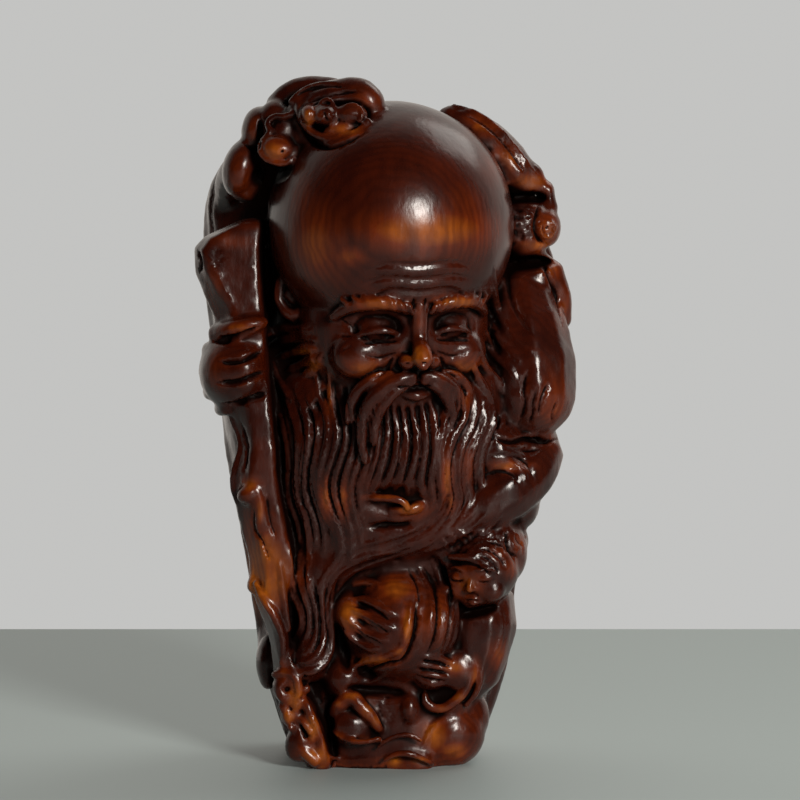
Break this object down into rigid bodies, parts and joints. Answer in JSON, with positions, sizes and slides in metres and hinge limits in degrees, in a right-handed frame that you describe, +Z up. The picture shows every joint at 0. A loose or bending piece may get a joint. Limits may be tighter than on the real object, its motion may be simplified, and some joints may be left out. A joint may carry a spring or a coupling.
{
  "type": "carved wooden figurine",
  "caption": "Small carved boxwood figurine of a bald, long-bearded elder with a gnarled root staff, a peach and a child, standing on its own flat underside.",
  "frame": {"origin": "a point near the middle of the flat underside, on the surface that the figurine stands on", "axes": "+Z up along the figure's height, the figure faces -Y, and +X is the viewer's right"},
  "size_m": [0.0541, 0.0433, 0.0991],
  "materials": {
    "stained_boxwood": "dark red-brown stained boxwood under a glossy lacquer, nearly black in the hollows and worn to golden orange on the high places"
  },
  "bodies": {
    "root": {"figurine": "stained_boxwood"}
  },
  "joints": []
}
